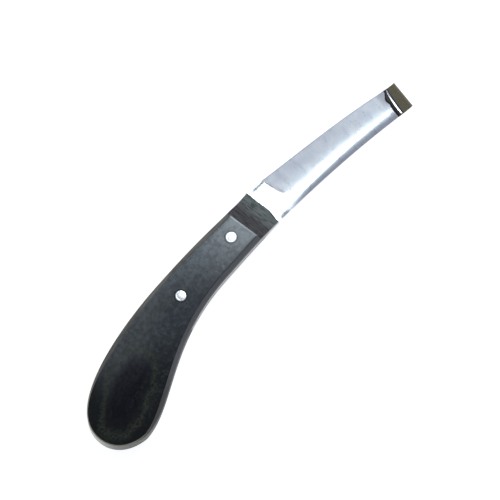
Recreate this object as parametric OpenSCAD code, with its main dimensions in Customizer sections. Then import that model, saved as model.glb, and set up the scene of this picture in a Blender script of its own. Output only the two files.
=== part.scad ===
// Hoof knife: a farrier's trimming knife, with a hooked blade riveted into a wooden handle.
// +X runs along the line of the two rivets toward the hook, +Y to the side of the hollow-ground
// edge, and +Z to the side that the hook curls to. The knife rests on the handle's flat back.
// Points of the outlines are measured from a datum beside the front rivet.

/* [Handle] */
// Thickness of the handle
handle_t = 14; // [12.5:0.5:16]
// Datum to the front edge of the wood
handle_front = 20.5; // [19:0.5:22]
// Datum to the end of the butt
butt_reach = 108.2; // [104:0.2:113]
// Half width of the handle on the hollow-ground side, at its widest
grip_left = 10.4; // [9.5:0.1:12]
// Drop of the butt's belly to the other side
butt_right = 31; // [28:0.1:33]
// Width of the chamfer along the grip
chamfer = 2.1; // [1:0.1:2.8]
// Width of the chamfer round the butt
butt_chamfer = 0.5; // [0.2:0.1:0.8]
// Datum to the crest of the scoop at the handle's front
scoop_start = 7.2; // [6:0.1:10]
// Thickness of the wood at its front edge, above and below the blade
wood_lip = 0.6; // [0.4:0.1:1.2]

/* [Blade] */
// Thickness of the tang and the shoulder
blade_t = 3; // [2.4:0.1:3.4]
// Thickness of the blade where the hook starts
tip_t = 2; // [1.6:0.1:2.4]
// Thickness left at the hollow-ground edge
edge_t = 0.5; // [0.3:0.1:0.9]
// Extra depth of the hollow in the middle of the ground bevel
hollow = 0.15; // [0:0.05:0.4]
// How far the other edge is ground down
back_drop = 0.7; // [0.3:0.1:1]
// Radius of the blade's upward bow
bow_r = 500; // [400:10:800]
// Datum to the end of the tang, inside the handle
tang_reach = 45; // [42:0.5:50]
// Radius of the tang's corners
tang_corner = 3; // [1:0.5:5]

/* [Hook] */
// Outer radius of the hook's bend
hook_r = 3.5; // [3.2:0.1:5]
// Angle from the knife's flat that the strip reaches at the end of the bend
hook_angle = 153; // [135:1:155]
// Length of the straight flap after the bend
flap_l = 5.0; // [3:0.1:6]
// Slant of the lip across the hook
lip_slant = 7; // [0:1:8]
// Thickness of the flap at the lip
lip_t = 0.7; // [0.5:0.1:1.4]
// Half width of the hook at the lip
lip_half_w = 6.6; // [5.8:0.1:7]
// Shift of the flap toward the blade's right edge
flap_shift = 1.1; // [0:0.1:1.3]
// How far the lip bulges back in its middle
lip_bulge = 0.5; // [0:0.1:0.7]
// Radius of the flap's two corners
lip_corner = 0.8; // [0.4:0.1:2]

/* [Rivets] */
// Outer diameter of the rivet sleeves
rivet_d = 5; // [4:0.1:6]
// Diameter of the rivet pins
pin_d = 3.4; // [2.4:0.1:3.8]
// Distance between the two rivets
rivet_pitch = 35; // [30:1:38]

/* [Hidden] */

clear = 1;                       // how far a cutting shape runs past what it cuts
kerf_gap = 1;                    // space left between the tang's end and the end of its slot
scoop_r = 12;                    // radius of the scoop at the handle's front
tang_z = (handle_t - blade_t) / 2;
rivets = [[-0.35, -0.4], [-0.35 - rivet_pitch, -0.9]];   // centres of the two rivets

// Outline of the handle, one chain of Bezier curves along each side, from front to butt.
butt_tip = [-butt_reach, -15.5];
left_side = [
    [[handle_front + clear, 8.1], [1, 7.7], [-1, grip_left], [-40, grip_left]],
    [[-40, grip_left], [-61, grip_left], [-butt_reach, 6.7], butt_tip]
];
right_side = [
    [[handle_front + clear, -11.4], [11.6, -10.7], [-0.6, -10.6], [-16, -10.6]],
    [[-16, -10.6], [-55, -10.6], [-73.5, -butt_right], [-92.3, -butt_right]],
    [[-92.3, -butt_right], [-95, -butt_right], [-butt_reach, -27.8], butt_tip]
];
left_steps = [10, 18];           // straight pieces in each curve, the same in all on both sides
right_steps = [4, 14, 10];
chamfer_fade = [-104, -74];      // the chamfer widens from butt to grip between these X values

// Outline of the blade in front of the shoulder, one Bezier curve along each edge.
left_edge = [[29, 7.3], [47.5, 3.4], [74, -0.8], [98.4, -8.85]];
right_edge = [[26.5, -11.85], [48, -13.6], [71, -16.4], [96, -22.15]];
blade_steps = 26;                // sections along the blade
bend_steps = 14;                 // sections round the hook
plunge = 0.03;                   // share of the blade's length over which the grind begins
back_plunge = 0.25;              // the same for the second bevel, which starts more gently
runout = 0.9;                    // share of the blade's length where the grind starts to run out
tip_grind = 0.3;                 // share of the grind's depth that is left in the hook
bend_share = 0.55;               // how much of the hook is bend, the rest being the straight flap

across = left_edge[3] - right_edge[3];
hook_side = across / norm(across);          // direction across the hook
hook_dir = [hook_side[1], -hook_side[0]];   // direction in which the blade runs into the hook
hook_half_w = norm(across) / 2;
hook_start = (left_edge[3] + right_edge[3]) / 2;
hook_run = (hook_start - [handle_front, 0]) * hook_dir;
bow_angle = asin(hook_run / bow_r);

// The origin is under the middle of the knife's bounding box, on the surface it rests on.
x_max = (hook_start + hook_dir * hook_r * (1 - sin(bow_angle)) + hook_side * hook_half_w)[0];
x_min = -butt_reach;
middle = [(x_min + x_max) / 2, (grip_left - butt_right) / 2];

function bezier(p, t) =
    pow(1 - t, 3) * p[0] + 3 * t * pow(1 - t, 2) * p[1] + 3 * t * t * (1 - t) * p[2]
    + pow(t, 3) * p[3];

function bezier_slope(p, t) =
    pow(1 - t, 2) * (p[1] - p[0]) + 2 * t * (1 - t) * (p[2] - p[1]) + t * t * (p[3] - p[2]);

// The curve's Y at a given X. X falls along the curve, so the parameter is found by halving.
function y_at(p, x, low = 0, high = 1, rounds = 24) =
    let (t = (low + high) / 2, q = bezier(p, t))
    rounds == 0 ? q[1] : q[0] > x ? y_at(p, x, t, high, rounds - 1) : y_at(p, x, low, t, rounds - 1);

function side_y(side, x) = y_at(side[x < side[0][3][0] ? 1 : 0], x);

function smooth(v) = let (c = max(0, min(1, v))) c * c * (3 - 2 * c);

function mix(a, b, v) = a + (b - a) * v;

// ---- handle ----

function chamfer_at(x) =
    mix(butt_chamfer, chamfer, smooth((x - chamfer_fade[0]) / (chamfer_fade[1] - chamfer_fade[0])));

// One side's points from front to butt, moved toward the inside by the chamfer times `inset`.
function side_points(side, steps, turn, inset) = [
    for (s = [0:len(side) - 1], i = [0:steps[s] - 1])
        let (q = bezier(side[s], i / steps[s]), d = bezier_slope(side[s], i / steps[s]))
        q + turn * inset * chamfer_at(q[0]) * [-d[1], d[0]] / norm(d)
];

function handle_loop(inset, z) =
    let (left = side_points(left_side, left_steps, 1, inset),
         right = side_points(right_side, right_steps, -1, inset),
         tip = butt_tip + [inset * butt_chamfer, 0],
         outline = concat(left, [tip], [for (i = [len(right) - 1:-1:0]) right[i]]))
    [for (q = outline) [q[0], q[1], z]];

module handle_blank() {
    loops = [handle_loop(1, 0), handle_loop(0, chamfer), handle_loop(0, handle_t - chamfer),
             handle_loop(1, handle_t)];
    n = len(loops[0]);
    half = (n - 1) / 2;
    top = 3 * n;
    walls = [
        for (k = [0:2], i = [0:n - 1])
            let (a = k * n + i, b = k * n + (i + 1) % n)
            each [[a, a + n, b + n], [a, b + n, b]]
    ];
    // Each flat face is a ladder of strips from the left side's points to the right side's.
    faces = [
        for (i = [0:half - 2])
            let (a = i, b = i + 1, c = n - 2 - i, d = n - 1 - i)
            each [[a, b, c], [a, c, d], [top + c, top + b, top + a], [top + d, top + c, top + a]]
    ];
    tips = [[half - 1, half, half + 1], [top + half + 1, top + half, top + half - 1]];
    polyhedron(points = [for (loop = loops) each loop], faces = concat(walls, faces, tips));
}

// Cuts the handle's front away above the blade: a round scoop that runs out into a thin lip.
module scoop() {
    lip_z = tang_z + blade_t + wood_lip;
    depth = handle_t - lip_z;
    half_arc = acos(1 - (depth + clear) / scoop_r);
    run = sqrt(scoop_r * scoop_r - pow(scoop_r - depth, 2));
    arc = [
        for (i = [0:10])
            let (a = half_arc * (1 - i / 10))
            [scoop_start + run - scoop_r * sin(a), lip_z + scoop_r * (1 - cos(a))]
    ];
    end_x = handle_front + 3 * clear;
    translate([0, 40, 0])
        rotate([90, 0, 0])
            linear_extrude(height = 80)
                polygon(concat(arc, [[end_x, lip_z], [end_x, handle_t + clear]]));
}

module handle() {
    color([0.10, 0.10, 0.11])
        to_origin()
            difference() {
                handle_blank();
                translate([-tang_reach - kerf_gap, -40, tang_z])
                    cube([tang_reach + kerf_gap + handle_front + 3 * clear, 80, blade_t]);
                translate([handle_front, -40, -clear])
                    cube([4 * clear, 80, handle_t + 2 * clear]);
                scoop();
                translate([0, 0, handle_t])
                    mirror([0, 0, 1])
                        scoop();
                for (at = rivets)
                    translate([at[0], at[1], -clear])
                        cylinder(h = handle_t + 2 * clear, d = rivet_d, $fn = 64);
            }
}

// ---- blade ----

// A section of the blade: points from the left edge over the top to the right edge, and back
// along the underside, each below its partner on top.
// `t` is the thickness; `grind` and `back` tell how much of the bevels is cut, from 0 to 1.
function section(half_w, t, grind, back, crest, band) =
    let (left_t = mix(t, edge_t, grind), right_t = t - back_drop * back,
         top = concat(
             [
                 for (i = [0:5])
                     let (f = 1 - i / 5)
                     [mix(crest, half_w, f), mix(t, left_t, f) - 4 * hollow * grind * f * (1 - f)]
             ],
             [[-half_w + band, t], [-half_w, right_t]]
         ))
    concat(top, [for (i = [len(top) - 1:-1:0]) [top[i][0], 0]]);

// Sections stand in space on a middle point, with a direction across and a direction upward.
function place(points, origin, side, up) = [for (q = points) origin + q[0] * side + q[1] * up];

function upward(dir, angle) = [-sin(angle) * dir[0], -sin(angle) * dir[1], cos(angle)];

// Inside the handle the tang's two sides are flush with the wood, and its end has round corners.
function tang_section(x) =
    let (from_end = min(x + tang_reach, tang_corner),
         corner = tang_corner - sqrt(pow(tang_corner, 2) - pow(tang_corner - from_end, 2)),
         left = side_y(left_side, x) - corner,
         right = side_y(right_side, x) + corner,
         half_w = (left - right) / 2)
    place(section(half_w, blade_t, 0, 0, 0, 1), [x, (left + right) / 2, tang_z], [0, 1, 0], [0, 0, 1]);

function tang_sections() =
    let (corner_x = [for (i = [0:3]) -tang_reach + tang_corner * (1 - cos(i * 30))],
         first = -tang_reach + tang_corner,
         steps = 9)
    concat([for (x = corner_x) if (x < first - 0.01) tang_section(x)],
           [for (i = [0:steps]) tang_section(mix(first, handle_front, i / steps))]);

function blade_section(v) =
    let (left = bezier(left_edge, v), right = bezier(right_edge, v),
         wide = left - right,
         side = wide / norm(wide),
         dir = [side[1], -side[0]],
         half_w = norm(wide) / 2,
         mid = (left + right) / 2,
         angle = asin((mid - [handle_front, 0]) * hook_dir / bow_r),
         z = tang_z + bow_r * (1 - cos(angle)),
         t = mix(blade_t, tip_t, v),
         fade = 1 - (1 - tip_grind) * smooth((v - runout) / (1 - runout)),
         grind = smooth(v / plunge) * fade, back = smooth(v / back_plunge) * fade)
    place(section(half_w, t, grind, back, crest_at(v), band_at(v)),
          [mid[0], mid[1], z], [side[0], side[1], 0], upward(dir, angle));

// Where the hollow bevel ends, from the middle of the blade, and how wide the second bevel is.
function crest_at(v) = mix(-2.1, -0.3, smooth(v * 1.7));
function band_at(v) = mix(2.0, 3.4, pow(v, 3));

// How far the bend and the flap have wandered to the right, `share` of the way to the lip.
function shift_at(share) = flap_shift * smooth(share);

function bend_section(v) =
    let (angle = mix(bow_angle, hook_angle, v), t = mix(tip_t, tip_t - 0.3, v),
         reach = hook_r * (sin(angle) - sin(bow_angle)),
         rise = hook_r * (cos(bow_angle) - cos(angle)),
         mid = hook_start + reach * hook_dir - shift_at(bend_share * v) * hook_side,
         z = tang_z + bow_r * (1 - cos(bow_angle)) + rise,
         half_w = mix(hook_half_w, lip_half_w, 0.6 * v))
    place(section(half_w, t, tip_grind * (1 - smooth(2 * v)), tip_grind * (1 - smooth(2 * v)),
                  crest_at(1), band_at(1)),
          [mid[0], mid[1], z], [hook_side[0], hook_side[1], 0], upward(hook_dir, angle));

function flap_section(run) =
    let (reach = hook_r * (sin(hook_angle) - sin(bow_angle)) + run * cos(hook_angle),
         rise = hook_r * (cos(bow_angle) - cos(hook_angle)) + run * sin(hook_angle),
         mid = hook_start + reach * hook_dir - shift_at(mix(bend_share, 1, run / flap_l)) * hook_side,
         z = tang_z + bow_r * (1 - cos(bow_angle)) + rise,
         from_end = min(flap_l - run, lip_corner),
         corner = lip_corner - sqrt(pow(lip_corner, 2) - pow(lip_corner - from_end, 2)),
         wide = mix(hook_half_w, lip_half_w, 0.6 + 0.4 * run / flap_l) - corner,
         slant = tan(lip_slant) * run / flap_l,
         along = [cos(hook_angle) * hook_dir[0], cos(hook_angle) * hook_dir[1], sin(hook_angle)])
    [
        for (q = section(wide, mix(tip_t - 0.3, lip_t, run / flap_l), 0, 0, crest_at(1), band_at(1)))
            [mid[0], mid[1], z]
            + q[0] * ([hook_side[0], hook_side[1], 0] - slant * along)
            + q[1] * upward(hook_dir, hook_angle)
            + lip_bulge * run / flap_l * (1 - pow(q[0] / wide, 2)) * along
    ];

// A closed solid through a row of sections that all have the same number of points. Its two ends
// are closed between each point on top and its partner below.
module skin(sections) {
    m = len(sections[0]);
    last = len(sections) - 1;
    walls = [
        for (k = [0:last - 1], i = [0:m - 1])
            let (a = k * m + i, b = k * m + (i + 1) % m)
            each [[a, a + m, b + m], [a, b + m, b]]
    ];
    start = [
        for (i = [0:m / 2 - 2])
            each [[i, i + 1, m - 2 - i], [i, m - 2 - i, m - 1 - i]]
    ];
    end = [for (f = start) [last * m + f[2], last * m + f[1], last * m + f[0]]];
    polyhedron(points = [for (ring = sections) each ring], faces = concat(walls, start, end));
}

module blade() {
    flap_runs = concat([flap_l * 0.4], [for (i = [3:-1:0]) flap_l - lip_corner * (1 - cos(i * 30))]);
    color([0.75, 0.77, 0.80])
        to_origin()
            difference() {
                skin(concat(
                    tang_sections(),
                    [for (i = [0:blade_steps]) blade_section(i / blade_steps)],
                    [for (i = [1:bend_steps]) bend_section(i / bend_steps)],
                    [for (run = flap_runs) flap_section(run)]
                ));
                for (at = rivets)
                    translate([at[0], at[1], tang_z - clear])
                        cylinder(h = blade_t + 2 * clear, d = rivet_d, $fn = 64);
            }
}

// ---- rivets ----

module rivet_sleeve(at) {
    color([0.86, 0.86, 0.86])
        to_origin()
            translate([at[0], at[1], 0])
                difference() {
                    cylinder(h = handle_t, d = rivet_d, $fn = 64);
                    translate([0, 0, -clear])
                        cylinder(h = handle_t + 2 * clear, d = pin_d, $fn = 64);
                }
}

module rivet_pin(at) {
    color([0.78, 0.78, 0.79])
        to_origin()
            translate([at[0], at[1], 0])
                cylinder(h = handle_t, d = pin_d, $fn = 64);
}

module front_rivet_sleeve() { rivet_sleeve(rivets[0]); }

module front_rivet_pin() { rivet_pin(rivets[0]); }

module rear_rivet_sleeve() { rivet_sleeve(rivets[1]); }

module rear_rivet_pin() { rivet_pin(rivets[1]); }

module to_origin() { translate([-middle[0], -middle[1], 0]) children(); }

blade();
handle();
front_rivet_sleeve();
front_rivet_pin();
rear_rivet_sleeve();
rear_rivet_pin();
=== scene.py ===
"""Looks for the hoof knife: smooth ground steel, worn black-stained wood and two flush rivets.

Lengths are in millimetres, measured as in the CAD from a datum beside the front rivet, until
`to_frame` turns them into metres in the shared frame.
"""

import math
from types import SimpleNamespace

import bmesh
import bpy
import numpy as np
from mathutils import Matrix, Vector


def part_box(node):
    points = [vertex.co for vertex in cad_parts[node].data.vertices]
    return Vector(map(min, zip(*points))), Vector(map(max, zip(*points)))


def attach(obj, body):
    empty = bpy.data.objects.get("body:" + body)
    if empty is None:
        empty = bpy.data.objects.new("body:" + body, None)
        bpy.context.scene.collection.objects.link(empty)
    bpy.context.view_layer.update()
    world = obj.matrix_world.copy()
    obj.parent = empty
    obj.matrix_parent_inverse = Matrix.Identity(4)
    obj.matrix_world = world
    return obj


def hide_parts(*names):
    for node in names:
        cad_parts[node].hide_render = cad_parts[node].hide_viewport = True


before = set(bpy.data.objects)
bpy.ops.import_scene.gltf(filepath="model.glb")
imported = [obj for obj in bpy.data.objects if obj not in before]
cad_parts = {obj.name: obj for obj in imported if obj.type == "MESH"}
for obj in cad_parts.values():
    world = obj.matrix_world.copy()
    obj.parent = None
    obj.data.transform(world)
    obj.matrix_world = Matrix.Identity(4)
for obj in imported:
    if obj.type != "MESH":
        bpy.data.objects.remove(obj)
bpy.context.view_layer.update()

MM = 0.001
BODY = "root"

# ---- sizes from the frame ----


def node_box(node):
    """A node's lowest and highest corner, in millimetres."""
    low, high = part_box(node)
    return np.array(low) / MM, np.array(high) / MM


sleeve_low, sleeve_high = node_box("front_rivet_sleeve")
pin_low, pin_high = node_box("front_rivet_pin")
handle_low, handle_high = node_box("handle")
RIVETS = ((-0.35, -0.4), (-35.35, -0.9))  # centres of the two rivets
DATUM = np.array([*((sleeve_low + sleeve_high) / 2)[:2] - RIVETS[0], 0.0])
RIVET_R = (sleeve_high[0] - sleeve_low[0]) / 2
PIN_R = (pin_high[0] - pin_low[0]) / 2
HANDLE_T = handle_high[2]
HANDLE_FRONT = handle_high[0] - DATUM[0]
BUTT_REACH = DATUM[0] - handle_low[0]
GRIP_LEFT = handle_high[1] - DATUM[1]
BUTT_RIGHT = DATUM[1] - handle_low[1]


def to_frame(points):
    """Points in millimetres from the datum, as metres in the shared frame."""
    return (np.asarray(points, float) + DATUM) * MM


# ---- driving dimensions that the CAD and this script share ----

BLADE_T = 3.0  # tang and shoulder
TIP_T = 2.0  # blade where the hook starts
EDGE_T = 0.5  # hollow-ground edge
BACK_DROP = (0.6, 1.0)  # how far the other edge is rounded down, at the shoulder and at the hook
HOLLOW = 0.15  # extra depth in the middle of the ground bevel
BOW_R = 500.0
TANG_REACH = 45.0
TANG_CORNER = 3.0
KERF_GAP = 1.0
HOOK_R = 3.5
HOOK_ANGLE = math.radians(153)
FLAP_L = 5.0
LIP_SLANT = math.tan(math.radians(7))
LIP_BULGE = 0.5
LIP_T = 0.7
LIP_HALF_W = 6.6
FLAP_SHIFT = 1.1
LIP_CORNER = 0.8
CHAMFER = 2.1
BUTT_CHAMFER = 0.5
SCOOP_START = 7.2
SCOOP_R = 12.0
WOOD_LIP = 0.6

TANG_Z = (HANDLE_T - BLADE_T) / 2
BUTT_TIP = (-BUTT_REACH, -15.5)
LEFT_SIDE = (
    ((HANDLE_FRONT + 1, 8.1), (1, 7.7), (-1, GRIP_LEFT), (-40, GRIP_LEFT)),
    ((-40, GRIP_LEFT), (-61, GRIP_LEFT), (-BUTT_REACH, 6.7), BUTT_TIP),
)
RIGHT_SIDE = (
    ((HANDLE_FRONT + 1, -11.4), (11.6, -10.7), (-0.6, -10.6), (-16, -10.6)),
    ((-16, -10.6), (-55, -10.6), (-73.5, -BUTT_RIGHT), (-92.3, -BUTT_RIGHT)),
    ((-92.3, -BUTT_RIGHT), (-95, -BUTT_RIGHT), (-BUTT_REACH, -27.8), BUTT_TIP),
)
LEFT_EDGE = ((29, 7.3), (47.5, 3.4), (74, -0.8), (98.4, -8.85))
RIGHT_EDGE = ((26.5, -11.85), (48, -13.6), (71, -16.4), (96, -22.15))


def bezier(points, t):
    """Points on a cubic Bezier curve at the parameters t."""
    a, b, c, d = np.asarray(points, float)
    t = np.atleast_1d(t)[:, None]
    s = 1 - t
    return s**3 * a + 3 * s * s * t * b + 3 * s * t * t * c + t**3 * d


def smooth(v):
    v = np.clip(v, 0, 1)
    return v * v * (3 - 2 * v)


def mix(a, b, v):
    return a + (b - a) * v


# ---- camera, first ----

VIEW_AZIMUTH = math.radians(-49)
VIEW_ELEVATION = math.radians(80)
CAMERA_DISTANCE = 3.0
VIEW_WIDTH = 0.225  # what the picture spans, at the distance of the handle's face
AIM_RIGHT, AIM_DOWN = 0.00864, 0.00626  # the picture's middle, seen from the front of the handle


def add_camera():
    """Looks down from almost straight above, a little toward the butt's side."""
    sin_a, cos_a = math.sin(VIEW_AZIMUTH), math.cos(VIEW_AZIMUTH)
    sin_e, cos_e = math.sin(VIEW_ELEVATION), math.cos(VIEW_ELEVATION)
    back = Vector((sin_a * cos_e, -cos_a * cos_e, sin_e))
    right = Vector((cos_a, sin_a, 0))
    up = back.cross(right)
    datum_top = Vector(to_frame((0, 0, HANDLE_T)))
    aim = datum_top + right * AIM_RIGHT - up * AIM_DOWN
    data = bpy.data.cameras.new("camera")
    data.sensor_width = 36
    data.lens = data.sensor_width * CAMERA_DISTANCE / VIEW_WIDTH
    data.clip_start, data.clip_end = 0.05, 20
    camera = bpy.data.objects.new("camera", data)
    camera.location = aim + back * CAMERA_DISTANCE
    camera.rotation_mode = "QUATERNION"
    camera.rotation_quaternion = (-back).to_track_quat("-Z", "Y")
    bpy.context.collection.objects.link(camera)
    bpy.context.scene.camera = camera


add_camera()

# ---- mesh building ----


class Grid:
    """Collects points and faces for one mesh, with a few numbers kept per point."""

    def __init__(self):
        self.points, self.faces, self.layers = [], [], {}

    def add(self, points, **layers):
        """Adds an array of points of any grid shape and returns their indices in that shape."""
        points = np.asarray(points, float)
        start = sum(len(p) for p in self.points)
        count = points[..., 0].size
        self.points.append(points.reshape(-1, 3))
        for name, values in layers.items():
            flat = np.broadcast_to(values, points.shape[:-1]).reshape(-1)
            self.layers.setdefault(name, np.zeros(0))
            gap = np.zeros(start - len(self.layers[name]))
            self.layers[name] = np.concatenate([self.layers[name], gap, flat])
        return np.arange(start, start + count).reshape(points.shape[:-1])

    def skin(self, index, flip=False, closed=False):
        """Quads over a 2-D array of indices."""
        if closed:
            index = np.concatenate([index, index[:, :1]], axis=1)
        a, b = index[:-1, :-1], index[1:, :-1]
        c, d = index[1:, 1:], index[:-1, 1:]
        order = (a, d, c, b) if flip else (a, b, c, d)
        self.faces += np.stack(order, axis=-1).reshape(-1, 4).tolist()

    def cap(self, loop, flip=False):
        loop = list(map(int, loop))
        self.faces.append(loop[::-1] if flip else loop)

    def build(self, name, material, sharp_angle=40, weld=1e-4):
        """A mesh object in the shared frame, welded where its points meet, with smooth shading."""
        mesh = bpy.data.meshes.new(name)
        mesh.from_pydata(to_frame(np.concatenate(self.points)).tolist(), [], self.faces)
        for layer, values in self.layers.items():
            full = np.zeros(len(mesh.vertices))
            full[: len(values)] = values
            mesh.attributes.new(layer, "FLOAT", "POINT").data.foreach_set("value", full)
        work = bmesh.new()
        work.from_mesh(mesh)
        bmesh.ops.remove_doubles(work, verts=work.verts, dist=weld * MM)
        bmesh.ops.dissolve_degenerate(work, edges=work.edges, dist=weld * MM)
        bmesh.ops.recalc_face_normals(work, faces=work.faces)
        work.to_mesh(mesh)
        work.free()
        mesh.shade_smooth()
        mesh.set_sharp_from_angle(angle=math.radians(sharp_angle))
        mesh.materials.append(material)
        piece = bpy.data.objects.new(name, mesh)
        bpy.context.collection.objects.link(piece)
        return piece


# ---- handle ----

SLOT_END = -TANG_REACH - KERF_GAP
ROUND_FROM = -92.0  # the butt is walked by its own length behind this X
COLUMNS = 40  # strips across the handle's face
FRONT_ROWS, CREST_ROWS, GRIP_ROWS, BUTT_ROWS, ROUND_ROWS = 40, 20, 60, 50, 60
CREST_NEAR = 1.2  # the rows are closest within this distance of the scoop's crest
CREST_SKEW = 0.078  # the crest runs a little aslant across the handle
SQUARE_FRONT, SQUARE_BACK = 8.0, 20.0  # lengths over which the rows take up that slant
BUTT_CROWN, GRIP_CROWN = 0.45, 0.08  # how far the face falls away to its border
CROWN_WIDTH = 9.0
CHAMFER_ROUND = 0.5
WALL_END = 0.12  # the wall stops this far from the slot
SLOT_EDGE = ((0.05, 0.03), (0.12, 0.0))  # inset and height of the slot's rounded edge
WORN_EDGE = 0.16
GLINT_AND_WEAR_WIDTH = 0.3  # the worn line along the scoop's crest, lightened as painted glint
BORDER_WIDTH = 0.45  # the darker line along the border of the face
HANDLE_SHARP = 50


class Side:
    """One long side of the handle's outline, as a fine line with normals to the inside."""

    def __init__(self, curves, turn):
        steps = np.linspace(0, 1, 500)
        line = np.concatenate([bezier(c, steps)[:-1] for c in curves] + [[BUTT_TIP]])
        along = np.gradient(line, axis=0)
        along[-1] = (0, -turn)  # both sides meet square at the butt's tip
        along /= np.linalg.norm(along, axis=1)[:, None]
        self.line = line
        self.normal = turn * np.stack([-along[:, 1], along[:, 0]], axis=1)
        step = np.linalg.norm(np.diff(line, axis=0), axis=1)
        self.length = np.concatenate([[0], np.cumsum(step)])
        self.round_start = np.interp(-ROUND_FROM, -line[:, 0], self.length)

    def at_x(self, x):
        return self.at_length(np.interp(-x, -self.line[:, 0], self.length))

    def at_round(self, v):
        """Round the butt: v is 0 where the round part starts and 1 at the tip."""
        return self.at_length(mix(self.round_start, self.length[-1], v))

    def at_length(self, length):
        point = [np.interp(length, self.length, self.line[:, i]) for i in (0, 1)]
        normal = [np.interp(length, self.length, self.normal[:, i]) for i in (0, 1)]
        return np.array(point), np.array(normal)


def handle_stations():
    """Matching points on the two sides from the front edge to the butt's tip, and the slot's last row."""
    left, right = Side(LEFT_SIDE, 1), Side(RIGHT_SIDE, -1)
    stops = (HANDLE_FRONT, SCOOP_START + CREST_NEAR, SCOOP_START - CREST_NEAR, SLOT_END, ROUND_FROM)
    counts = (FRONT_ROWS, CREST_ROWS, GRIP_ROWS, BUTT_ROWS)
    spans = zip(stops, stops[1:], counts)
    rows = []
    for x in np.concatenate([np.linspace(a, b, count, endpoint=False) for a, b, count in spans]):
        skew = CREST_SKEW * smooth((HANDLE_FRONT - x) / SQUARE_FRONT) * smooth((x + SQUARE_BACK) / SQUARE_BACK)
        pair = []
        for side in (left, right):
            y = side.at_x(x)[0][1]
            pair += side.at_x(x - skew * y)
        rows.append(pair)
    for v in np.linspace(0, 1, ROUND_ROWS):
        rows.append([*left.at_round(v), *right.at_round(v)])
    return np.array(rows), FRONT_ROWS + CREST_ROWS + GRIP_ROWS


def chamfer_at(x):
    """The long chamfers narrow down to a fine edge round the butt."""
    return mix(BUTT_CHAMFER, CHAMFER, smooth((x + 104) / 30))


def edge_profile(chamfer, top, slot_z):
    """Inset and height down one side: face border, rounded chamfer, wall, slot edge."""
    round_r = min(CHAMFER_ROUND, 0.45 * chamfer)
    steps = np.linspace(0, 1, 5)[:, None]
    corner = np.array([[chamfer, top], [0, top - chamfer]])
    slope = np.array([-1, -1]) / math.sqrt(2)
    before = [corner[0] + (round_r, 0), corner[1] - round_r * slope]
    after = [corner[0] + round_r * slope, corner[1] - (0, round_r)]
    arcs = [
        (1 - steps) ** 2 * before[i] + 2 * (steps * (1 - steps)) * corner[i] + steps**2 * after[i]
        for i in (0, 1)
    ]
    wall = [np.array([[0, z]]) for z in np.linspace(after[1][1], slot_z + WALL_END, 5)[1:]]
    slot_edge = [np.array([[inset, slot_z + above]]) for inset, above in SLOT_EDGE]
    return np.concatenate([*arcs, *wall, *slot_edge])


def scoop_height(x, y):
    """Height of the scooped surface above the knife's back, at a point in front of its crest."""
    lip_z = TANG_Z + BLADE_T + WOOD_LIP
    depth = HANDLE_T - lip_z
    run = math.sqrt(SCOOP_R**2 - (SCOOP_R - depth) ** 2)
    ahead = np.clip(SCOOP_START + run - (x + CREST_SKEW * y), 0, SCOOP_R * 0.98)
    return lip_z + SCOOP_R - np.sqrt(SCOOP_R**2 - ahead**2)


def worn_min(a, b, width=WORN_EDGE):
    """The lower of two heights, with the edge between them rounded by wear."""
    h = np.clip(0.5 + 0.5 * (b - a) / width, 0, 1)
    return mix(b, a, h) - width * h * (1 - h)


def front_wave(y):
    """The wood's thin front edge is cut by hand: a bulge, a slack right end and a small ripple."""
    bulge = 0.45 * np.exp(-(((y + 3.6) / 3.4) ** 2))
    slack = 0.45 * smooth((-6.5 - y) / 3.5)
    return bulge - slack + 0.06 * np.sin(2.1 * y) - 0.1


def half_row(left, left_n, right, right_n, slot_z):
    """One row over the upper half, from left slot edge to right, with its crest's wear and painted glint, and
    its side parts.
    """
    x = (left[0] + right[0]) / 2
    chamfer = chamfer_at(x)
    crown = mix(BUTT_CROWN, GRIP_CROWN, smooth((x + 100) / 70))
    profile = edge_profile(chamfer, HANDLE_T - crown, slot_z)
    if x < SLOT_END:
        profile[-len(SLOT_EDGE):, 0] = 0  # behind the slot the wall runs on without a seam
    left_xy = left + profile[:, :1] * left_n
    right_xy = right + profile[:, :1] * right_n
    across = np.linspace(0, 1, COLUMNS + 1)[1:-1]
    face_xy = mix(left_xy[0], right_xy[0], across[:, None])
    rim = np.minimum(across, 1 - across) * np.linalg.norm(left_xy[0] - right_xy[0])
    face_z = HANDLE_T - crown * np.clip(1 - rim / CROWN_WIDTH, 0, 1) ** 2
    xy = np.concatenate([left_xy[::-1], face_xy, right_xy])
    z = np.concatenate([profile[::-1, 1], face_z, profile[:, 1]])
    xy[:, 0] += smooth((xy[:, 0] - HANDLE_FRONT + 6) / 6) * front_wave(xy[:, 1])
    crest_gap = xy[:, 0] + CREST_SKEW * xy[:, 1] - SCOOP_START
    on_top = smooth((z - HANDLE_T + 0.9) / 0.6)
    flank = (profile[:, 0] < chamfer * 0.93) * 1.0
    on_face = 1 - np.concatenate([flank[::-1], np.zeros(len(across)), flank])
    wear = np.exp(-((crest_gap / GLINT_AND_WEAR_WIDTH) ** 2)) * on_top * on_face
    side = np.concatenate([flank[::-1], np.exp(-((rim / BORDER_WIDTH) ** 2)) * 0.7, flank])
    z = np.maximum(worn_min(z, scoop_height(xy[:, 0], xy[:, 1])), np.minimum(z, slot_z))
    return np.column_stack([xy, z]), wear, side


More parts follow.
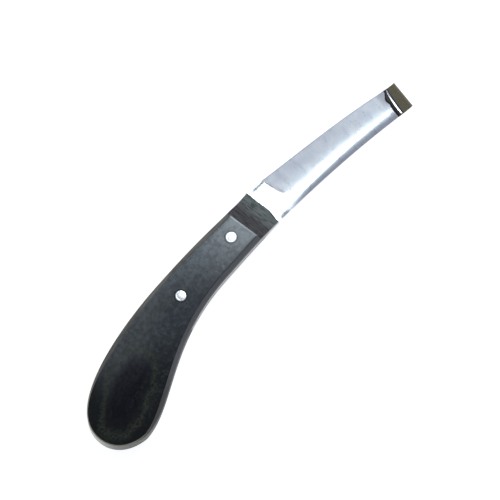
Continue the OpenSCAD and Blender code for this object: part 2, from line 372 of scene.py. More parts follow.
def drill(piece, centre, radius):
    """Cuts a hole right through a piece, upright, and makes the cut part of its mesh."""
    bpy.ops.mesh.primitive_cylinder_add(vertices=96, radius=radius * MM, depth=2 * HANDLE_T * MM,
                                        location=to_frame((*centre, HANDLE_T / 2)))
    cutter = bpy.context.object
    cut = piece.modifiers.new("hole", "BOOLEAN")
    cut.operation, cut.solver, cut.object = "DIFFERENCE", "EXACT", cutter
    graph = bpy.context.evaluated_depsgraph_get()
    mesh = bpy.data.meshes.new_from_object(piece.evaluated_get(graph), depsgraph=graph)
    piece.modifiers.clear()
    piece.data = mesh
    bpy.data.objects.remove(cutter)
    mesh.set_sharp_from_angle(angle=math.radians(HANDLE_SHARP))


def line_slot(grid, halves, slot_row):
    """Roof, floor, end wall and open front of the sawn slot. `halves` are points and indices."""
    inner = np.linspace(0, 1, 9)[None, 1:-1, None]
    linings = []
    for half, index in halves:
        ends = half[: slot_row + 1, [0, -1]]
        middle = grid.add(mix(ends[:, :1], ends[:, 1:], inner))
        edges = index[: slot_row + 1]
        linings.append(np.concatenate([edges[:, :1], middle, edges[:, -1:]], axis=1))
    grid.skin(linings[0], flip=True)
    grid.skin(linings[1])
    grid.skin(np.stack([linings[0][-1], linings[1][-1]], axis=0))
    for (half, index), lining, flip in zip(halves, linings, (False, True)):
        grid.cap([*index[0], *lining[0][-2:0:-1]], flip)


def add_handle(material):
    """One closed skin: two faces, chamfered sides, and the sawn slot that the tang sits in."""
    rows, slot_row = handle_stations()
    slot_z = TANG_Z + BLADE_T
    upper, wear, side = (np.array(layer) for layer in zip(*(half_row(*row, slot_z) for row in rows)))
    lower = upper * (1, 1, -1) + (0, 0, HANDLE_T)
    grid = Grid()
    top = grid.add(upper, wear=wear, side=side)
    under = grid.add(lower, wear=wear, side=side)
    grid.skin(top)
    grid.skin(under, flip=True)
    # Behind the slot the side walls close the band between the two halves.
    for column, flip in ((0, True), (-1, False)):
        grid.skin(np.stack([top[slot_row:, column], under[slot_row:, column]], axis=1), flip)
    line_slot(grid, ((upper, top), (lower, under)), slot_row)
    piece = grid.build("handle_wood", material, sharp_angle=HANDLE_SHARP, weld=1e-3)
    for centre in RIVETS:
        drill(piece, centre, RIVET_R + 0.04)
    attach(piece, BODY)
    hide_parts("handle")


# ---- blade ----

across_hook = np.subtract(LEFT_EDGE[3], RIGHT_EDGE[3])
HOOK_SIDE = across_hook / np.linalg.norm(across_hook)
HOOK_DIR = np.array([HOOK_SIDE[1], -HOOK_SIDE[0]])
HOOK_HALF_W = np.linalg.norm(across_hook) / 2
HOOK_START = np.add(LEFT_EDGE[3], RIGHT_EDGE[3]) / 2
BOW_ANGLE = math.asin((HOOK_START - (HANDLE_FRONT, 0)) @ HOOK_DIR / BOW_R)
HOOK_BASE_Z = TANG_Z + BOW_R * (1 - math.cos(BOW_ANGLE))

TOP_POINTS, UNDER_POINTS = 73, 24  # points of a section along its top and its underside
CREST_AT = (-2.1, -0.3)  # where bevel meets flat, left of the middle, at the shoulder and farther out
BAND = (3.4, 5.6)  # width of the rounded strip at the right edge, at the shoulder and at the hook
BACK_PLUNGE = 0.25  # share of the blade over which that rounding begins
PLUNGE_LEAN = 0.042  # the grind starts later toward the middle of the blade
PLUNGE_WIDTH = 0.010
TIP_GRIND = 0.3  # how much of the grind is left where the hook starts
FADE_FROM, FADE_LENGTH = 0.9, 0.1  # the shares of the blade where the grind dies away
SEAM = 0.05  # the tang's sides stand this far inside the wood's
TANG_SHADE = 0.33  # the tang's sides are duller than the blade
CREST_WEAR = 1.7  # how far the crest between bevel and flat is rounded
HOLLOW_LEAN = 0.25  # the hollow is deepest a little toward the crest
EASE_WIDTH, LEFT_EASE_WIDTH = 4.8, 2.6  # strips that are polished down beside the shoulder
SHOULDER_EASE = 0.36  # how far the shoulder's right edge is polished down
LEFT_EASE = 0.6  # the left edge's share of that
MICRO_BEVEL, MICRO_DROP = 0.35, 0.2  # the honed strip along the cutting edge, its width and drop
NICK = 0.07  # broken corners under the blade
HOOK_THINNING = 0.3
BEND_SHARE = 0.55  # how much of the hook's sideways shift is in the bend
BEND_NARROWING = 0.6  # how much of the hook's narrowing is in the bend
LIP_BEVEL = 0.5  # bright bevel honed on the outside of the lip
LIP_BEVEL_DROP = 0.3
DARK_FROM, DARK_TURN = math.radians(25), math.radians(30)  # outside the bend the steel turns dark
SCALE_AND_SHADOW_REACH = 5.15  # how far the scale and the hook's painted shadow come out of the hook at the right edge
SCALE_AND_SHADOW_LEFT = 2.0  # how much less they do at the left edge


def section(half_w, t, v, grind, tang=False, ease=0.0):
    """Offsets across and upward round one section of the blade, and how deep each is ground.

    The top runs from the left edge over the hollow bevel, a worn crest and a flat to the right
    edge, which is rounded down. `v` is the share of the blade's length.
    """
    crest = mix(*CREST_AT, smooth(v * 1.7))
    a = half_w - 2 * half_w * np.linspace(0, 1, TOP_POINTS)
    f = (a - crest) / (half_w - crest)
    inward = 1 - np.clip(f, 0, 1)
    plunge = smooth((v - PLUNGE_LEAN * inward) / (PLUNGE_WIDTH * (1 + 4 * inward)))
    depth = f * 0 if tang else grind * plunge
    bevel = mix(t, mix(t, EDGE_T, depth), f)
    bevel -= 4 * HOLLOW * depth * f * (1 - f) * (1 - HOLLOW_LEAN * f) * (f > 0)
    bevel = np.where(f > 0, bevel, t - f * (t - EDGE_T + 4 * HOLLOW) * depth)
    top = np.where(depth > 1e-6, worn_min(bevel, t, CREST_WEAR * depth + 1e-6), t)
    top -= MICRO_DROP * depth[0] * np.clip(1 - (half_w - a) / MICRO_BEVEL, 0, 1)
    band = mix(*BAND, v**2)
    rounded = np.clip((band - (a + half_w)) / band, 0, 1)
    top -= grind * smooth(v / BACK_PLUNGE) * mix(*BACK_DROP, v) * rounded**2
    top -= ease * np.clip(1 - (a + half_w) / EASE_WIDTH, 0, 1) ** 2
    top -= LEFT_EASE * ease * smooth(1 - (half_w - a) / LEFT_EASE_WIDTH) * (1 - depth[0])
    under = np.linspace(-half_w + NICK, half_w - NICK, UNDER_POINTS - 1)
    satin = 0.0 if tang else grind * smooth(v / PLUNGE_WIDTH / 2)
    ground = np.concatenate([[depth[0]], np.maximum(depth * (f > 0), satin), np.zeros(UNDER_POINTS)])
    a = np.concatenate([[half_w], a, [-half_w], under])
    b = np.concatenate([[NICK], top, [NICK], under * 0])
    return a, b, ground


def place(mid, z, side, up, a, b):
    """A section in space, on its middle point, with a direction across and a direction upward."""
    return np.array([*mid, z]) + a[:, None] * np.asarray(side) + b[:, None] * np.asarray(up)


def upward(direction, angle):
    return np.array([*(-math.sin(angle) * direction), math.cos(angle)])


def corner_cut(from_end, radius):
    """How far a round corner has come in, at a distance from the end that it rounds."""
    from_end = min(from_end, radius)
    return radius - math.sqrt(radius**2 - (radius - from_end) ** 2)


def scale_and_shadow_depth(ahead, a):
    """How dark the forging scale and the painted shadow are, `ahead` of the hook's start and `a` across the
    blade.

    The scale is left inside the hook, where no wheel reaches, and ends in a wavering border; where the darkness
    comes out onto the blade ahead of the lip, it is painted shadow and reflection of the hook's dark inside.
    """
    into = ahead + SCALE_AND_SHADOW_REACH - SCALE_AND_SHADOW_LEFT * smooth((a - 2.2) / 4.2)
    into += 0.04 * np.sin(4.3 * a) - 0.42 * np.exp(-(((a + 0.1) / 1.2) ** 2))
    return 0.5 * smooth(into / 0.35) + 0.5 * smooth((into - 0.8) / 0.6)


def shaded(points, ground, outside=0.0, inside=0.0):
    """A row of points with its grind depth, and its darkness under and on top of the blade."""
    shade = np.zeros(len(points)) + inside
    shade[-UNDER_POINTS:] = outside
    shade[0] = outside
    return points, ground, shade


def tang_rows(left, right):
    """The tang, flush with the wood on both sides and rounded at its end."""
    corner = TANG_CORNER * (1 - np.cos(np.linspace(0, math.pi / 2, 9)))
    straight = np.linspace(-TANG_REACH + TANG_CORNER, HANDLE_FRONT, 60)[1:]
    for x in np.concatenate([-TANG_REACH + corner, straight]):
        cut = corner_cut(x + TANG_REACH, TANG_CORNER) + SEAM * smooth((HANDLE_FRONT - x) / 0.5)
        y_left, y_right = left.at_x(x)[0][1] - cut, right.at_x(x)[0][1] + cut
        a, b, ground = section((y_left - y_right) / 2, BLADE_T, 0, 0, tang=True)
        points = place((x, (y_left + y_right) / 2), TANG_Z, (0, 1, 0), (0, 0, 1), a, b)
        yield shaded(points, ground, inside=TANG_SHADE * smooth((HANDLE_FRONT - 0.3 - x) / 0.6))


def bowed_row(p_left, p_right, v, grind, tang=False, ease=0.0):
    """One section of the blade between its two edges, bowed upward by its distance out."""
    wide = p_left - p_right
    side = wide / np.linalg.norm(wide)
    mid = (p_left + p_right) / 2
    angle = math.asin((mid - (HANDLE_FRONT, 0)) @ HOOK_DIR / BOW_R)
    z = TANG_Z + BOW_R * (1 - math.cos(angle))
    a, b, ground = section(np.linalg.norm(wide) / 2, mix(BLADE_T, TIP_T, v), v, grind, tang, ease)
    points = place(mid, z, (*side, 0), upward(np.array([side[1], -side[0]]), angle), a, b)
    # the darkness ahead of the lip is scale and painted shadow of the hook
    return shaded(points, ground, inside=scale_and_shadow_depth((points[:, :2] - HOOK_START) @ HOOK_DIR, a))


def shoulder_rows(left, right):
    """The flat, straight shoulder between the wood and the grind."""
    roots = [np.array([HANDLE_FRONT, side.at_x(HANDLE_FRONT)[0][1]]) for side in (left, right)]
    for s in np.linspace(0, 1, 24)[1:-1]:
        p_left, p_right = (mix(root, np.array(edge[0]), s) for root, edge in zip(roots, (LEFT_EDGE, RIGHT_EDGE)))
        yield bowed_row(p_left, p_right, 0.0, 0.0, tang=True, ease=SHOULDER_EASE * smooth(s * 3))


def ground_rows():
    """The ground blade, in close rows where the grind begins and where it dies away."""
    stations = np.concatenate([np.linspace(0, 0.07, 56, endpoint=False),
                               np.linspace(0.07, FADE_FROM, 90, endpoint=False), np.linspace(FADE_FROM, 1, 50)])
    for v in stations:
        grind = 1 - (1 - TIP_GRIND) * smooth((v - FADE_FROM) / FADE_LENGTH)
        ease = SHOULDER_EASE * (1 - smooth(v / 0.3))
        yield bowed_row(bezier(LEFT_EDGE, v)[0], bezier(RIGHT_EDGE, v)[0], v, grind, ease=ease)


def hook_point(angle, run, shift):
    """The hook's middle line: round the bend to `angle`, `run` straight on, and `shift` to the right."""
    reach = HOOK_R * (math.sin(angle) - math.sin(BOW_ANGLE)) + run * math.cos(angle)
    rise = HOOK_R * (math.cos(BOW_ANGLE) - math.cos(angle)) + run * math.sin(angle)
    return HOOK_START + reach * HOOK_DIR - shift * HOOK_SIDE, HOOK_BASE_Z + rise


def bend_rows():
    """The hook's bend, which thins and narrows toward the flap."""
    for v in np.linspace(0, 1, 44)[1:]:
        angle = mix(BOW_ANGLE, HOOK_ANGLE, v)
        mid, z = hook_point(angle, 0, FLAP_SHIFT * smooth(BEND_SHARE * v))
        half_w = mix(HOOK_HALF_W, LIP_HALF_W, BEND_NARROWING * v)
        t = mix(TIP_T, TIP_T - HOOK_THINNING, v)
        a, b, ground = section(half_w, t, 1.0, TIP_GRIND * (1 - smooth(2 * v)))
        points = place(mid, z, (*HOOK_SIDE, 0), upward(HOOK_DIR, angle), a, b)
        yield shaded(points, ground, smooth((angle - DARK_FROM) / DARK_TURN), 1.0)


def flap_rows():
    """The straight flap, which ends in a slanted, bulged lip with round corners and a honed bevel."""
    corner = LIP_CORNER * (1 - np.sin(np.linspace(0, math.pi / 2, 9)))
    runs = np.concatenate([np.linspace(0, FLAP_L - 2, 8)[1:-1],
                           np.linspace(FLAP_L - 2, FLAP_L - LIP_CORNER, 16)[:-1], FLAP_L - corner])
    along = np.array([*(math.cos(HOOK_ANGLE) * HOOK_DIR), math.sin(HOOK_ANGLE)])
    outward = upward(HOOK_DIR, HOOK_ANGLE)
    for run in runs:
        share, to_lip = run / FLAP_L, FLAP_L - run
        mid, z = hook_point(HOOK_ANGLE, run, FLAP_SHIFT * smooth(mix(BEND_SHARE, 1, share)))
        half_w = mix(HOOK_HALF_W, LIP_HALF_W, BEND_NARROWING + (1 - BEND_NARROWING) * share)
        half_w -= corner_cut(to_lip, LIP_CORNER)
        side = np.array([*HOOK_SIDE, 0]) - LIP_SLANT * share * along
        a, b, ground = section(half_w, mix(TIP_T - HOOK_THINNING, LIP_T, share), 1.0, 0)
        points = place(mid, z, side, outward, a, b)
        points += (LIP_BULGE * share * (1 - (a / half_w) ** 2))[:, None] * along
        points += (LIP_BEVEL_DROP * smooth(1 - to_lip / LIP_BEVEL) * (b == 0))[:, None] * outward
        # painted reflection: the half-dark band just behind the honed bevel stands for the dark reflection on
        # the lip's edge
        bare = 0.5 * smooth((LIP_BEVEL + 1.0 - to_lip) / 0.5) + 0.5 * smooth((LIP_BEVEL + 0.1 - to_lip) / 0.2)
        yield shaded(points, ground, 1.0 - bare, 1.0)


def add_blade(material):
    """One closed skin, from the tang's end to the lip."""
    left, right = Side(LEFT_SIDE, 1), Side(RIGHT_SIDE, -1)
    rows = [*tang_rows(left, right), *shoulder_rows(left, right), *ground_rows(), *bend_rows(), *flap_rows()]
    points, ground, dark = (np.array(layer) for layer in zip(*rows))
    grid = Grid()
    index = grid.add(points, ground=ground, dark=dark)
    grid.skin(index, closed=True)
    grid.cap(index[0], flip=True)
    grid.cap(index[-1])
    piece = grid.build("blade_steel", material, sharp_angle=32)
    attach(piece, BODY)
    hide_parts("blade")


# ---- rivets ----

HEAD_DEPTH = 0.1  # the under heads stand this far inside the wood's back


def lathe(name, profile, centre, material, segments=96):
    """Turns a closed profile of radius and height round an upright axis."""
    turn = np.linspace(0, 2 * math.pi, segments, endpoint=False)
    profile = np.asarray(profile, float)
    ring = np.stack([np.cos(turn), np.sin(turn)], axis=1)
    xy = profile[:, None, :1] * ring[None] + np.asarray(centre)
    z = np.broadcast_to(profile[:, None, 1:], (*xy.shape[:2], 1))
    grid = Grid()
    index = grid.add(np.concatenate([xy, z], axis=2))
    grid.skin(index, closed=True)
    grid.skin(np.stack([index[-1], index[0]]), closed=True)
    return grid.build(name, material, sharp_angle=35)


def add_rivet(rivet, centre, sleeve_material, pin_material):
    """A sleeve through the handle with a pin driven into it, both peened and rubbed flush."""
    rim = [(RIVET_R - 0.03, 0.25), (RIVET_R - 0.03, 0.08), (RIVET_R - 0.1, 0.0), (RIVET_R - 0.35, -0.05),
           (PIN_R + 0.1, -0.08), (PIN_R + 0.03, -0.06), (PIN_R + 0.01, 0.1)]
    face = [(0.0, -0.1), (0.5, -0.095), (1.0, -0.075), (PIN_R - 0.25, -0.05), (PIN_R - 0.05, -0.02),
            (PIN_R, 0.05)]
    for node, head, material in (("sleeve", rim, sleeve_material), ("pin", face, pin_material)):
        top = [(r, HANDLE_T - z) for r, z in reversed(head)]
        under = [(r, z + HEAD_DEPTH) for r, z in head]
        piece = lathe(f"{rivet}_{node}_metal", under + top, centre, material)
        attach(piece, BODY)
        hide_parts(f"{rivet}_{node}")


# ---- node trees ----


class Tree:
    """A node tree, with short calls to add and join its nodes."""

    def __init__(self, tree):
        self.tree = tree

    def add(self, kind, inputs=(), **settings):
        """A new node. `inputs` maps socket names or numbers to values or to other sockets."""
        made = self.tree.nodes.new("ShaderNode" + kind)
        for key, value in settings.items():
            setattr(made, key, value)
        for key, value in dict(inputs).items():
            self.feed(made.inputs[key], value)
        return made

    def feed(self, socket, value):
        if isinstance(value, bpy.types.NodeSocket):
            self.tree.links.new(value, socket)
        elif isinstance(value, (tuple, list)) and len(value) == 3 and socket.type == "RGBA":
            socket.default_value = (*value, 1)
        else:
            socket.default_value = value

    def math(self, operation, a, b=0.0):
        return self.add("Math", {0: a, 1: b}, operation=operation).outputs[0]

    def times(self, a, b):
        return self.math("MULTIPLY", a, b)

    def vector(self, operation, a, b):
        made = self.add("VectorMath", {0: a, 1: b}, operation=operation)
        return made.outputs["Value" if operation in ("LENGTH", "DISTANCE") else "Vector"]

    def stretch(self, vector, scale):
        return self.vector("MULTIPLY", vector, scale)

    def blend(self, factor, a, b, mode="MIX"):
        """Mixes two colours."""
        made = self.add("Mix", data_type="RGBA", blend_type=mode)
        for socket, value in zip((made.inputs["Factor"], made.inputs[6], made.inputs[7]), (factor, a, b)):
            self.feed(socket, value)
        return made.outputs[2]

    def rise(self, value, low, high, to_low=0.0, to_high=1.0):
        """A smooth step of a value from one level to another."""
        made = self.add("MapRange", {"Value": value, "From Min": low, "From Max": high,
                                     "To Min": to_low, "To Max": to_high}, interpolation_type="SMOOTHSTEP")
        return made.outputs["Result"]

    def ramp(self, factor, stops):
        made = self.add("ValToRGB", {"Fac": factor})
        elements = made.color_ramp.elements
        elements.remove(elements[-1])
        for i, (position, color) in enumerate(stops):
            element = elements[0] if i == 0 else elements.new(position)
            element.position = position
            element.color = (*color, 1)
        return made.outputs["Color"]


class Shader(Tree):
    """A material's node tree, round its Principled shader."""

    def __init__(self, name):
        self.material = bpy.data.materials.new(name)
        self.material.use_nodes = True
        super().__init__(self.material.node_tree)
        self.principled = self.tree.nodes["Principled BSDF"]

    def set(self, **inputs):
        """Sets sockets of the Principled shader, named with underscores."""
        for key, value in inputs.items():
            self.feed(self.principled.inputs[key.replace("_", " ")], value)

    def attribute(self, name):
        return self.add("Attribute", attribute_name=name).outputs["Fac"]

    def noise(self, vector, scale=1.0, detail=3.0, roughness=0.5):
        made = self.add("TexNoise", {"Vector": vector, "Scale": scale, "Detail": detail, "Roughness": roughness})
        return made.outputs["Fac"]

    def millimetres(self):
        """The surface point in millimetres from the datum."""
        point = self.add("TexCoord").outputs["Object"]
        return self.stretch(self.vector("SUBTRACT", point, tuple(DATUM * MM)), (1 / MM,) * 3)

    def bump(self, height, distance, normal=None):
        """Bump from a height between 0 and 1, `distance` in millimetres."""
        inputs = {"Height": height, "Distance": distance * MM}
        if normal is not None:
            inputs["Normal"] = normal
        return self.add("Bump", inputs).outputs["Normal"]


# ---- wood ----

RING_CENTRE = (-83.5, -11.5, 0)  # the loop on the butt: a growth ring and the painted reflection round the crowned butt
RING_SIZE = (21.5, 10.0)
RING_TURN = math.radians(-22)
RING_WARP = (9, 9, 0)
STAIN_BUTT, STAIN_GRIP = (0.0075, 0.0080, 0.0085), (0.044, 0.049, 0.057)
# the greyer left and front are partly worn stain and partly painted sheen of the window panel
STAIN_AND_SHEEN_LEFT, STAIN_AND_SHEEN_FRONT = (0.098, 0.103, 0.105), (0.130, 0.148, 0.164)
# the light haze is partly painted sheen, mottled like the lacquer's reflection
HAZE_DARK, HAZE_AND_SHEEN_LIGHT = (0.012, 0.014, 0.018), (0.080, 0.092, 0.096)
# the ring's dark core and lighter line are partly painted reflection
RING_CORE_AND_DARK_REFLECTION, RING_LINE_AND_REFLECTION = (0.0035, 0.0030, 0.0070), (0.050, 0.055, 0.036)
STREAK, PORE = (0.055, 0.062, 0.058), (0.005, 0.005, 0.006)
BORDER = (0.022, 0.015, 0.009)  # dark brown where the face meets the chamfer
WORN_DARK, WORN_LIGHT = (0.058, 0.054, 0.047), (0.135, 0.129, 0.112)
# the right side's bluish grey is painted reflection of the sky
SKY_SHEEN_RIGHT, WORN_BUTT = (0.105, 0.106, 0.116), (0.052, 0.050, 0.042)
# the butt edge's cream is partly bare wood and partly painted highlight
BARE_WOOD_AND_HIGHLIGHT = (0.34, 0.33, 0.21)
# painted shade on the scoop's steep back, painted light on its flat front
SCOOP_SHADED, SCOOP_LIT = (0.080, 0.074, 0.078), (0.150, 0.165, 0.155)
SCOOP_GRAIN = (0.012, 0.011, 0.012)
# light grey of the scoop's crest: worn edge and painted glint
CREST_GLINT_AND_WEAR = (0.42, 0.47, 0.48)
RIVET_STAIN = (0.006, 0.006, 0.010)


def wood_patterns(m):
    """Places and noises in the wood. The grain bends with the handle, toward its right at the butt."""
    w = SimpleNamespace(point=m.millimetres())
    w.x, w.y, w.z = m.add("SeparateXYZ", {0: w.point}).outputs
    w.grain_y = m.math("SUBTRACT", w.y, m.rise(w.x, -100, -25, -14, 0))
    grain = m.add("CombineXYZ", {0: w.x, 1: w.grain_y, 2: w.z}).outputs[0]
    w.fibres = m.noise(m.stretch(grain, (0.5, 4.5, 4.5)), detail=5, roughness=0.7)
    w.streaks = m.noise(m.stretch(grain, (0.05, 0.42, 0.42)), detail=4, roughness=0.6)
    w.across = m.noise(m.stretch(w.point, (2.6, 0.25, 1.0)), detail=4, roughness=0.6)
    w.mottle = m.noise(w.point, scale=0.8, detail=4, roughness=0.6)
    w.haze = m.noise(w.point, scale=0.45, detail=6, roughness=0.7)
    w.side = m.attribute("side")
    w.off_middle = m.math("ABSOLUTE", m.math("SUBTRACT", w.z, HANDLE_T / 2))
    w.scoop = m.rise(aslant(m, w, CREST_SKEW), SCOOP_START, SCOOP_START + 0.7)
    return w


def aslant(m, w, lean):
    """How far forward a point is, counting its way to the left `lean` times."""
    return m.math("ADD", w.x, m.times(w.y, lean))


def ring_and_reflection(m, w):
    """One growth ring, cut lengthwise, shows as a long loop: its lighter line and its dark core, which also
    stand as painted reflection of the crowned butt's rim and of the dark ceiling in its middle.
    """
    warp = m.add("TexNoise", {"Vector": w.point, "Scale": 0.09, "Detail": 3}).outputs["Color"]
    warp = m.stretch(m.vector("SUBTRACT", warp, (0.5, 0.5, 0.5)), RING_WARP)
    centred = m.vector("SUBTRACT", m.vector("ADD", w.point, warp), RING_CENTRE)
    turned = m.add("Mapping", {"Vector": centred, "Rotation": (0, 0, RING_TURN)}).outputs[0]
    scaled = m.stretch(turned, (1 / RING_SIZE[0], 1 / RING_SIZE[1], 0))
    at = m.vector("LENGTH", scaled, (0, 0, 0))
    line = m.times(m.rise(at, 0.8, 1.0), m.rise(at, 1.02, 1.25, 1, 0))
    return m.times(line, m.rise(w.mottle, 0.3, 0.65)), m.rise(at, 0.45, 1.0, 1, 0)


def face_color(m, w):
    """Black stain, greyer toward the front and the left, partly worn and partly painted sheen of the window
    panel, with haze, streaks and pores.
    """
    base = m.blend(m.rise(aslant(m, w, 1.3), -96, -52), STAIN_BUTT, STAIN_GRIP)
    left = m.times(m.rise(w.grain_y, -3, 9), m.rise(w.x, -100, -70))
    # painted sheen: the face is lightened toward the left and the front, where the panel's reflection lies, as
    # well as worn
    base = m.blend(m.times(left, 0.75), base, STAIN_AND_SHEEN_LEFT)
    base = m.blend(m.rise(aslant(m, w, 2.0), -46, 4), base, STAIN_AND_SHEEN_FRONT)
    base = m.blend(m.rise(w.haze, 0.62, 0.38, 0.0, 0.45), base, HAZE_DARK)
    # painted sheen: pale blue-grey mottle, stronger toward the front, stands partly for the panel's mottled
    # reflection
    pale_haze_and_sheen = m.times(m.rise(w.haze, 0.5, 0.72), m.rise(w.x, -95, -50, 0.15, 0.55))
    base = m.blend(pale_haze_and_sheen, base, HAZE_AND_SHEEN_LIGHT)
    # the loop's line and dark core are partly painted reflection
    ring, core = ring_and_reflection(m, w)
    base = m.blend(m.times(core, 0.75), base, RING_CORE_AND_DARK_REFLECTION)
    light = m.times(m.rise(w.streaks, 0.42, 0.75), m.rise(w.mottle, 0.35, 0.7))
    base = m.blend(m.times(light, m.rise(w.x, -95, -50, 0.2, 0.6)), base, STREAK)
    base = m.blend(m.times(ring, 0.6), base, RING_LINE_AND_REFLECTION)
    return m.blend(m.times(m.rise(w.fibres, 0.5, 0.3), 0.3), base, PORE)


def worn_color(m, w):
    """Chamfers and walls: the stain has worn to a dark brown, bluish grey on the right as painted reflection of
    the sky, and to bare wood on the butt's edge, whose cream line is partly painted highlight.
    """
    worn = m.blend(m.rise(m.math("ADD", w.fibres, w.streaks), 0.8, 1.15), WORN_DARK, WORN_LIGHT)
    # painted reflection: the right side is tinted with the bluish sky it faces
    worn = m.blend(m.rise(w.grain_y, 0, -6, 0.0, 0.7), worn, SKY_SHEEN_RIGHT)
    worn = m.blend(m.rise(w.x, -62, -78, 0.0, 0.45), worn, WORN_BUTT)
    # partly painted highlight: the cream line along the butt's edge stands for bare wood and for its glint
    bare = m.times(m.rise(w.x, -84, -102), m.rise(w.off_middle, 5.6, 6.5))
    return m.blend(m.times(bare, m.rise(w.mottle, 0.2, 0.6, 0.4, 1.0)), worn, BARE_WOOD_AND_HIGHLIGHT)


def scoop_color(m, w):
    """The scoop is cut across the grain, so its fibres show as dark lines. Its steep back carries painted shade
    and its flat front painted light.
    """
    cut = m.blend(m.rise(w.x, 12, 18.5), SCOOP_SHADED, SCOOP_LIT)
    return m.blend(m.times(m.rise(w.across, 0.56, 0.38), 0.7), cut, SCOOP_GRAIN)


def wood_polish(m, w, cut_or_side):
    """How much lacquer is left: most at the front and left of the face, some on the butt's wall."""
    face = m.times(m.rise(aslant(m, w, 2.2), -95, -25, 0.05, 1.0), m.rise(w.haze, 0.35, 0.6, 0.7, 1.0))
    face = m.times(face, m.math("SUBTRACT", 1.0, m.times(cut_or_side, 0.85)))
    shine = m.times(m.rise(w.x, -75, -95, 0.05, 0.7), m.rise(w.y, -30, -12, 0.2, 1.0))
    wall = m.times(w.side, m.rise(w.off_middle, 6.4, 5.9))
    return m.math("MAXIMUM", face, m.times(wall, shine))


def wood_material():
    """Black-stained hardwood: streaked along the curved grain, one growth ring on the butt that is partly
    painted reflection, and painted sheen, shade and highlights in its colour.
    """
    m = Shader("black_stained_wood")
    w = wood_patterns(m)
    base = m.blend(m.times(m.rise(w.side, 0.1, 0.7), 0.8), face_color(m, w), BORDER)
    base = m.blend(m.rise(w.side, 0.85, 1.0), base, worn_color(m, w))
    base = m.blend(w.scoop, base, scoop_color(m, w))
    # painted highlight: the crest's line is lightened as worn and glinting, most toward the left
    wear = m.times(m.attribute("wear"), m.rise(w.y, -9, 3, 0.45, 0.9))
    base = m.blend(wear, base, CREST_GLINT_AND_WEAR)
    for centre in RIVETS:  # stain that gathered round the rivets
        upright = m.add("CombineXYZ", {0: w.x, 1: w.y, 2: 0.0}).outputs[0]
        away = m.vector("DISTANCE", upright, (*centre, 0))
        base = m.blend(m.rise(away, RIVET_R + 0.1, RIVET_R + 0.9, 0.85, 0), base, RIVET_STAIN)
    cut_or_side = m.math("MAXIMUM", w.scoop, w.side)
    m.set(Base_Color=base, Specular_IOR_Level=0.08, IOR=1.5, Coat_Weight=wood_polish(m, w, cut_or_side),
          Coat_Roughness=0.12, Coat_IOR=1.5)
    m.set(Roughness=m.math("ADD", m.rise(w.mottle, 0.3, 0.7, 0.26, 0.38), m.times(cut_or_side, 0.25)))
    lacquer = m.bump(w.mottle, 0.030)
    lacquer = m.bump(m.times(w.across, w.scoop), 0.10, normal=lacquer)
    pores = m.times(m.rise(w.fibres, 0.36, 0.5), m.math("SUBTRACT", 1.0, w.scoop))
    m.set(Normal=m.bump(pores, 0.012, normal=lacquer), Coat_Normal=lacquer)
    return m.material


# ---- metal ----

BLADE_TURN = math.radians(11)  # brings the blade's length onto X
STEEL_DULL, STEEL_BRIGHT = (0.63, 0.653, 0.698), (0.71, 0.72, 0.74)
STEEL_MARK = (0.49, 0.51, 0.555)
SCALE_DULL, SCALE_BROWN = (0.088, 0.075, 0.044), (0.128, 0.110, 0.068)
# navy black of the scale's border: painted shadow and dark reflection of the hook on the blade, the dark line
# before the lip's bevel, and the tang's dull sides
SCALE_AND_SHADOW_BORDER = (0.016, 0.016, 0.034)


def steel_material():
    """Ground steel with fine marks across the blade, forging scale left on the hook, and painted shadow of the
    hook on the blade ahead of its lip.
    """
    m = Shader("ground_steel")
    point = m.millimetres()
    turned = m.add("Mapping", {"Vector": point, "Rotation": (0, 0, BLADE_TURN)}).outputs[0]
    fine = m.noise(m.stretch(turned, (5.5, 0.22, 0.22)), detail=4, roughness=0.7)
    broad = m.noise(m.stretch(turned, (0.55, 0.10, 0.1)), detail=3, roughness=0.6)
    scratch = m.noise(m.stretch(turned, (0.09, 4.0, 1.0)), detail=3, roughness=0.7)
    clouds = m.noise(turned, scale=0.22, detail=4, roughness=0.6)
    speckle = m.noise(point, scale=1.6, detail=5, roughness=0.65)
    dark = m.attribute("dark")
    scaled = m.rise(dark, 0.08, 0.4)
    bright = m.blend(m.rise(clouds, 0.35, 0.65), STEEL_DULL, STEEL_BRIGHT)
    bright = m.blend(m.times(m.rise(fine, 0.55, 0.35), 0.35), bright, STEEL_MARK)
    scale = m.blend(m.rise(speckle, 0.35, 0.68), SCALE_DULL, SCALE_BROWN)
    # painted shadow: where the darkness is partial, the colour is the navy-black border
    scale = m.blend(m.rise(dark, 0.55, 0.95), SCALE_AND_SHADOW_BORDER, scale)
    rough = m.math("ADD", m.rise(broad, 0.3, 0.7, 0.15, 0.20), m.times(m.attribute("ground"), 0.12))
    rough = m.math("ADD", rough, m.times(scaled, 0.3))
    relief = m.bump(fine, 0.004)
    relief = m.bump(broad, 0.005, normal=relief)
    relief = m.bump(scratch, 0.002, normal=relief)
    relief = m.bump(m.times(speckle, scaled), 0.12, normal=relief)
    m.set(Base_Color=m.blend(scaled, bright, scale), Metallic=m.math("SUBTRACT", 1.0, scaled),
          Roughness=rough, Specular_IOR_Level=0.25, Normal=relief)
    return m.material


def rivet_material(name, tone, roughness):
    """Soft metal, rubbed flush with the wood: fine arcs of abrasion and a few pits."""
    m = Shader(name)
    point = m.millimetres()
    rub = m.noise(m.stretch(point, (1.2, 9.0, 1.0)), detail=4, roughness=0.7)
    pits = m.noise(point, scale=1.6, detail=2)
    pitted = tuple(0.45 * c for c in tone)
    color = m.blend(m.times(m.rise(pits, 0.64, 0.75), 0.25), tone, pitted)
    relief = m.bump(m.rise(pits, 0.75, 0.62), 0.004, normal=m.bump(rub, 0.0015))
    m.set(Base_Color=color, Metallic=1.0, Normal=relief,
          Roughness=m.rise(rub, 0.3, 0.7, roughness - 0.06, roughness + 0.08))
    return m.material


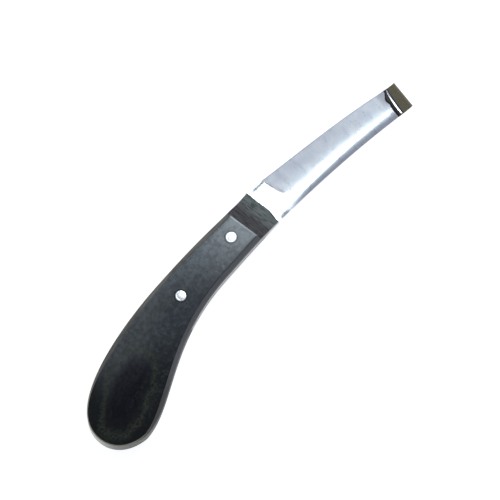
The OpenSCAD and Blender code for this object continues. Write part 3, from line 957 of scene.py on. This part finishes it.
# ---- stage and light ----

FLOOR_HALF, FLOOR_Z = 4.0, -0.0002
SKY_BY_HEIGHT = (
    (0.0, (0.96, 0.96, 0.95)),
    (0.2, (0.86, 0.88, 0.90)),
    (0.5, (0.52, 0.555, 0.63)),
    (1.0, (0.50, 0.53, 0.62)),
)
SKY_BY_SIDE = ((0.0, (0.55, 0.56, 0.58)), (0.38, (0.66, 0.68, 0.71)), (0.6, (1.0, 1.0, 1.0)))
DARK_SPOT = (0.1, 0.11, 0.989)  # a dark stretch of ceiling, as a direction
SKY_BY_SPOT = ((0.0, (0.10, 0.10, 0.10)), (0.16, (0.14, 0.14, 0.14)), (0.36, (1.0, 1.0, 1.0)))
PANEL_X, PANEL_Y, PANEL_Z = (56, 380), (-40, 130), 460
PANEL_RADIANCE = 6.2
PANEL_COLOR = (0.86, 0.97, 1.0)


def floor_material():
    m = Shader("pale_floor")
    m.set(Base_Color=(0.6, 0.6, 0.6), Roughness=0.9, Specular_IOR_Level=0.0,
          Emission_Color=(1.0, 1.0, 1.0), Emission_Strength=0.8)
    return m.material


def add_floor():
    corners = [(x * FLOOR_HALF, y * FLOOR_HALF, FLOOR_Z) for x, y in ((-1, -1), (1, -1), (1, 1), (-1, 1))]
    mesh = bpy.data.meshes.new("floor")
    mesh.from_pydata(corners, [], [(0, 1, 2, 3)])
    mesh.materials.append(floor_material())
    floor = bpy.data.objects.new("floor", mesh)
    bpy.context.collection.objects.link(floor)


def add_world():
    """A soft studio: pale walls at the horizon, lilac grey above, and dark straight overhead."""
    world = bpy.data.worlds.new("studio")
    world.use_nodes = True
    w = Tree(world.node_tree)
    direction = w.add("TexCoord").outputs["Generated"]
    split = w.add("SeparateXYZ", {0: direction})
    side = w.add("MapRange", {"Value": split.outputs["Y"], "From Min": -1}).outputs["Result"]
    spot = w.vector("DISTANCE", direction, DARK_SPOT)
    sky = w.ramp(split.outputs["Z"], SKY_BY_HEIGHT)
    for value, stops in ((side, SKY_BY_SIDE), (spot, SKY_BY_SPOT)):
        sky = w.blend(1.0, sky, w.ramp(value, stops), mode="MULTIPLY")
    w.feed(w.tree.nodes["Background"].inputs["Color"], sky)
    bpy.context.scene.world = world


def add_light():
    """One window-like panel above the blade: the wood's front mirrors it, its butt doesn't."""
    low, high = (to_frame((PANEL_X[i], PANEL_Y[i], PANEL_Z)) for i in (0, 1))
    size = high - low
    data = bpy.data.lights.new("window_panel", "AREA")
    data.shape = "RECTANGLE"
    data.size, data.size_y = size[0], size[1]
    data.energy = PANEL_RADIANCE * math.pi * size[0] * size[1]
    data.color = PANEL_COLOR
    light = bpy.data.objects.new("window_panel", data)
    light.location = (low + high) / 2
    bpy.context.collection.objects.link(light)


# ---- the knife in its studio ----

add_handle(wood_material())
add_blade(steel_material())
sleeve_metal = rivet_material("sleeve_metal", (0.88, 0.88, 0.89), 0.28)
pin_metal = rivet_material("pin_metal", (0.80, 0.80, 0.82), 0.32)
add_rivet("front_rivet", RIVETS[0], sleeve_metal, pin_metal)
add_rivet("rear_rivet", RIVETS[1], sleeve_metal, pin_metal)
add_floor()
add_world()
add_light()
bpy.context.scene.view_settings.view_transform = "Standard"
bpy.context.scene.view_settings.look = "None"
